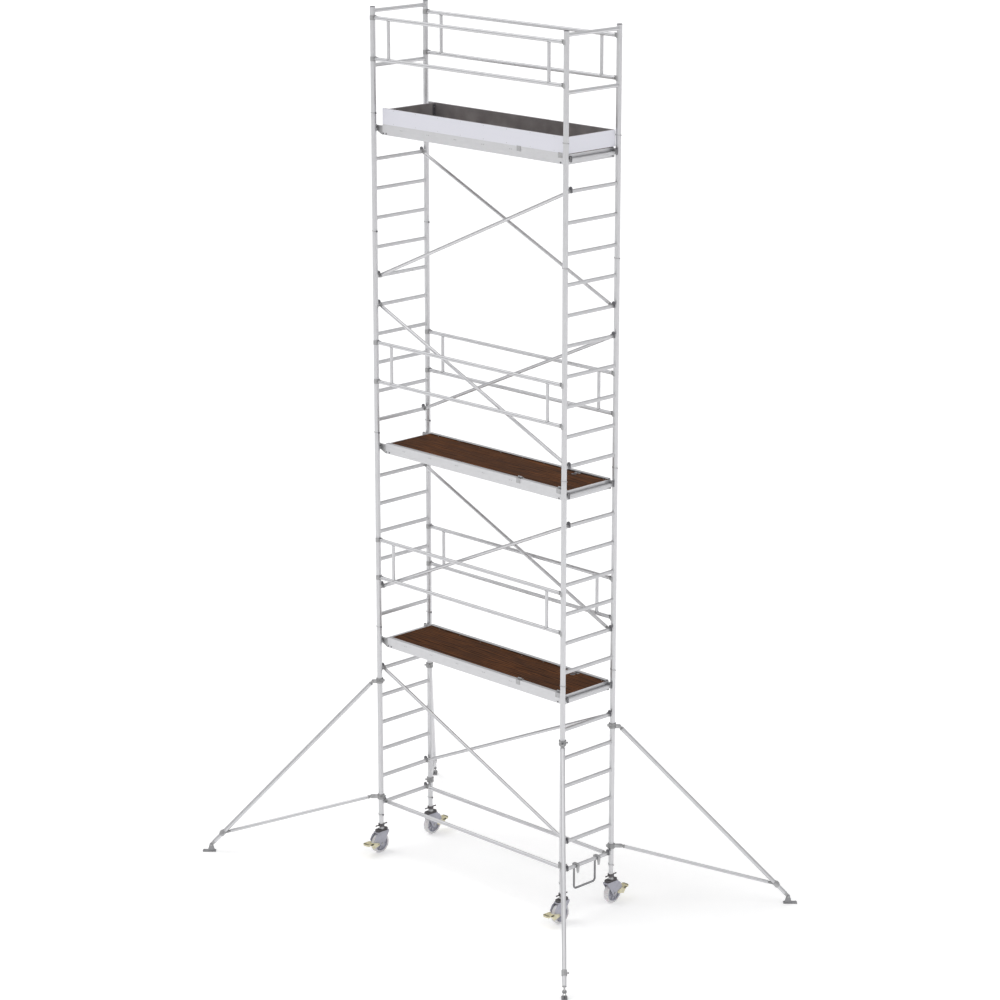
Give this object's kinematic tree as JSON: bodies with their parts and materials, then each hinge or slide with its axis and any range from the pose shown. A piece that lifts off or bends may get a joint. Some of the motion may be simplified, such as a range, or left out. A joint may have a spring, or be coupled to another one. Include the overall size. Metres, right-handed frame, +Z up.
{
  "type": "mobile tower scaffold",
  "caption": "Tall aluminium access tower on braked casters, with ladder end frames, hatch platforms, guardrails, toe boards and diagonal outriggers.",
  "frame": {"origin": "on the ground under the middle of the tower", "axes": "+Z up, +X along the long side towards the end with the step bracket, -Y the front side that the hatches hinge on"},
  "size_m": [5.0632, 3.2372, 8.386],
  "materials": {
    "frame_aluminium": "mill-finish aluminium",
    "post_caps": "dark plastic cap",
    "locking_pins": "zinc-plated steel",
    "caster_sleeves": "mill-finish aluminium",
    "brace_aluminium": "mill-finish aluminium",
    "guardrail": "mill-finish aluminium",
    "platform_frame": "mill-finish aluminium",
    "deck_plywood": "dark brown film-faced plywood",
    "platform_claws": "cast aluminium",
    "hatch_hinges": "zinc-plated steel",
    "toe_boards": "pale facing, dark inner face",
    "step_bracket": "mill-finish aluminium",
    "caster_nut": "dark cast nut",
    "caster_spindle": "zinc-plated threaded tube",
    "caster_fork": "lilac-grey painted pressed steel",
    "caster_wheel": "pale grey moulded wheel",
    "caster_pedal": "pale yellow paint",
    "outrigger": "mill-finish aluminium",
    "outrigger_foot": "grey cast foot",
    "hatch_plywood": "dark brown film-faced plywood"
  },
  "bodies": {
    "tower": {"frame_left_1": "frame_aluminium", "frame_left_2": "frame_aluminium", "frame_left_3": "frame_aluminium", "frame_left_4": "frame_aluminium", "frame_right_1": "frame_aluminium", "frame_right_2": "frame_aluminium", "frame_right_3": "frame_aluminium", "frame_right_4": "frame_aluminium", "guard_frame_left": "frame_aluminium", "guard_frame_right": "frame_aluminium", "post_caps": "post_caps", "locking_pins": "locking_pins", "caster_sleeves": "caster_sleeves", "braces_front": "brace_aluminium", "braces_back": "brace_aluminium", "base_struts": "brace_aluminium", "guardrails_1": "guardrail", "guardrails_2": "guardrail", "guardrails_3": "guardrail", "platform_frame_1": "platform_frame", "platform_frame_2": "platform_frame", "platform_frame_3": "platform_frame", "deck_1": "deck_plywood", "deck_2": "deck_plywood", "deck_3": "deck_plywood", "platform_claws": "platform_claws", "hatch_hinges": "hatch_hinges", "toe_boards": "toe_boards", "step_bracket": "step_bracket"},
    "nut_front_left": {"caster_nut_front_left": "caster_nut"},
    "spindle_front_left": {"caster_spindle_front_left": "caster_spindle"},
    "fork_front_left": {"caster_fork_front_left": "caster_fork"},
    "wheel_front_left": {"caster_wheel_front_left": "caster_wheel"},
    "pedal_front_left": {"caster_pedal_front_left": "caster_pedal"},
    "outrigger_front_left": {"outrigger_front_left": "outrigger"},
    "foot_front_left": {"outrigger_foot_front_left": "outrigger_foot"},
    "nut_front_right": {"caster_nut_front_right": "caster_nut"},
    "spindle_front_right": {"caster_spindle_front_right": "caster_spindle"},
    "fork_front_right": {"caster_fork_front_right": "caster_fork"},
    "wheel_front_right": {"caster_wheel_front_right": "caster_wheel"},
    "pedal_front_right": {"caster_pedal_front_right": "caster_pedal"},
    "outrigger_front_right": {"outrigger_front_right": "outrigger"},
    "foot_front_right": {"outrigger_foot_front_right": "outrigger_foot"},
    "nut_back_left": {"caster_nut_back_left": "caster_nut"},
    "spindle_back_left": {"caster_spindle_back_left": "caster_spindle"},
    "fork_back_left": {"caster_fork_back_left": "caster_fork"},
    "wheel_back_left": {"caster_wheel_back_left": "caster_wheel"},
    "pedal_back_left": {"caster_pedal_back_left": "caster_pedal"},
    "outrigger_back_left": {"outrigger_back_left": "outrigger"},
    "foot_back_left": {"outrigger_foot_back_left": "outrigger_foot"},
    "nut_back_right": {"caster_nut_back_right": "caster_nut"},
    "spindle_back_right": {"caster_spindle_back_right": "caster_spindle"},
    "fork_back_right": {"caster_fork_back_right": "caster_fork"},
    "wheel_back_right": {"caster_wheel_back_right": "caster_wheel"},
    "pedal_back_right": {"caster_pedal_back_right": "caster_pedal"},
    "outrigger_back_right": {"outrigger_back_right": "outrigger"},
    "foot_back_right": {"outrigger_foot_back_right": "outrigger_foot"},
    "hatch_1": {"hatch_1": "hatch_plywood"},
    "hatch_2": {"hatch_2": "hatch_plywood"},
    "hatch_3": {"hatch_3": "hatch_plywood"}
  },
  "joints": [
    {"name": "height_front_left", "type": "slide", "parent": "tower", "child": "spindle_front_left", "axis": [0, 0, -1], "range_m": [0, 0.2]},
    {"name": "nut_turn_front_left", "type": "hinge", "parent": "tower", "child": "nut_front_left", "pos_m": [-1.25, -0.337, 0.285], "axis": [0, 0, 1], "range_deg": [0, 9000]},
    {"name": "swivel_front_left", "type": "hinge", "parent": "spindle_front_left", "child": "fork_front_left", "pos_m": [-1.25, -0.337, 0.233], "axis": [0, 0, 1], "continuous": true},
    {"name": "wheel_spin_front_left", "type": "hinge", "parent": "fork_front_left", "child": "wheel_front_left", "pos_m": [-1.25, -0.359, 0.1], "axis": [1, 0, 0], "continuous": true},
    {"name": "pedal_front_left", "type": "hinge", "parent": "fork_front_left", "child": "pedal_front_left", "pos_m": [-1.25, -0.411, 0.108], "axis": [1, 0, 0], "range_deg": [-18, 0]},
    {"name": "outrigger_swing_front_left", "type": "hinge", "parent": "tower", "child": "outrigger_front_left", "pos_m": [-1.25, -0.337, 1.2], "axis": [0, 0, 1], "range_deg": [-45, 45]},
    {"name": "foot_tilt_front_left", "type": "hinge", "parent": "outrigger_front_left", "child": "foot_front_left", "pos_m": [-2.45208, -1.53908, 0.068], "axis": [0.7071, -0.7071, 0], "range_deg": [-15, 15]},
    {"name": "height_front_right", "type": "slide", "parent": "tower", "child": "spindle_front_right", "axis": [0, 0, -1], "range_m": [0, 0.2]},
    {"name": "nut_turn_front_right", "type": "hinge", "parent": "tower", "child": "nut_front_right", "pos_m": [1.25, -0.337, 0.285], "axis": [0, 0, 1], "range_deg": [0, 9000]},
    {"name": "swivel_front_right", "type": "hinge", "parent": "spindle_front_right", "child": "fork_front_right", "pos_m": [1.25, -0.337, 0.233], "axis": [0, 0, 1], "continuous": true},
    {"name": "wheel_spin_front_right", "type": "hinge", "parent": "fork_front_right", "child": "wheel_front_right", "pos_m": [1.25, -0.359, 0.1], "axis": [1, 0, 0], "continuous": true},
    {"name": "pedal_front_right", "type": "hinge", "parent": "fork_front_right", "child": "pedal_front_right", "pos_m": [1.25, -0.411, 0.108], "axis": [1, 0, 0], "range_deg": [-18, 0]},
    {"name": "outrigger_swing_front_right", "type": "hinge", "parent": "tower", "child": "outrigger_front_right", "pos_m": [1.25, -0.337, 1.2], "axis": [0, 0, 1], "range_deg": [-45, 45]},
    {"name": "foot_tilt_front_right", "type": "hinge", "parent": "outrigger_front_right", "child": "foot_front_right", "pos_m": [2.45208, -1.53908, 0.068], "axis": [0.7071, 0.7071, 0], "range_deg": [-15, 15]},
    {"name": "height_back_left", "type": "slide", "parent": "tower", "child": "spindle_back_left", "axis": [0, 0, -1], "range_m": [0, 0.2]},
    {"name": "nut_turn_back_left", "type": "hinge", "parent": "tower", "child": "nut_back_left", "pos_m": [-1.25, 0.337, 0.285], "axis": [0, 0, 1], "range_deg": [0, 9000]},
    {"name": "swivel_back_left", "type": "hinge", "parent": "spindle_back_left", "child": "fork_back_left", "pos_m": [-1.25, 0.337, 0.233], "axis": [0, 0, 1], "continuous": true},
    {"name": "wheel_spin_back_left", "type": "hinge", "parent": "fork_back_left", "child": "wheel_back_left", "pos_m": [-1.25, 0.359, 0.1], "axis": [1, 0, 0], "continuous": true},
    {"name": "pedal_back_left", "type": "hinge", "parent": "fork_back_left", "child": "pedal_back_left", "pos_m": [-1.25, 0.411, 0.108], "axis": [-1, 0, 0], "range_deg": [-18, 0]},
    {"name": "outrigger_swing_back_left", "type": "hinge", "parent": "tower", "child": "outrigger_back_left", "pos_m": [-1.25, 0.337, 1.2], "axis": [0, 0, 1], "range_deg": [-45, 45]},
    {"name": "foot_tilt_back_left", "type": "hinge", "parent": "outrigger_back_left", "child": "foot_back_left", "pos_m": [-2.45208, 1.53908, 0.068], "axis": [-0.7071, -0.7071, 0], "range_deg": [-15, 15]},
    {"name": "height_back_right", "type": "slide", "parent": "tower", "child": "spindle_back_right", "axis": [0, 0, -1], "range_m": [0, 0.2]},
    {"name": "nut_turn_back_right", "type": "hinge", "parent": "tower", "child": "nut_back_right", "pos_m": [1.25, 0.337, 0.285], "axis": [0, 0, 1], "range_deg": [0, 9000]},
    {"name": "swivel_back_right", "type": "hinge", "parent": "spindle_back_right", "child": "fork_back_right", "pos_m": [1.25, 0.337, 0.233], "axis": [0, 0, 1], "continuous": true},
    {"name": "wheel_spin_back_right", "type": "hinge", "parent": "fork_back_right", "child": "wheel_back_right", "pos_m": [1.25, 0.359, 0.1], "axis": [1, 0, 0], "continuous": true},
    {"name": "pedal_back_right", "type": "hinge", "parent": "fork_back_right", "child": "pedal_back_right", "pos_m": [1.25, 0.411, 0.108], "axis": [-1, 0, 0], "range_deg": [-18, 0]},
    {"name": "outrigger_swing_back_right", "type": "hinge", "parent": "tower", "child": "outrigger_back_right", "pos_m": [1.25, 0.337, 1.2], "axis": [0, 0, 1], "range_deg": [-45, 45]},
    {"name": "foot_tilt_back_right", "type": "hinge", "parent": "outrigger_back_right", "child": "foot_back_right", "pos_m": [2.45208, 1.53908, 0.068], "axis": [-0.7071, 0.7071, 0], "range_deg": [-15, 15]},
    {"name": "hatch_open_1", "type": "hinge", "parent": "tower", "child": "hatch_1", "pos_m": [0.864, -0.276, 2.266], "axis": [1, 0, 0], "range_deg": [0, 95]},
    {"name": "hatch_open_2", "type": "hinge", "parent": "tower", "child": "hatch_2", "pos_m": [0.864, -0.276, 4.226], "axis": [1, 0, 0], "range_deg": [0, 80]},
    {"name": "hatch_open_3", "type": "hinge", "parent": "tower", "child": "hatch_3", "pos_m": [0.864, -0.276, 7.306], "axis": [1, 0, 0], "range_deg": [0, 95]}
  ],
  "couplings": [
    {"joint": "nut_turn_front_left", "follows": "height_front_left", "rad_per_m": 785},
    {"joint": "nut_turn_front_right", "follows": "height_front_right", "rad_per_m": 785},
    {"joint": "nut_turn_back_left", "follows": "height_back_left", "rad_per_m": 785},
    {"joint": "nut_turn_back_right", "follows": "height_back_right", "rad_per_m": 785}
  ]
}
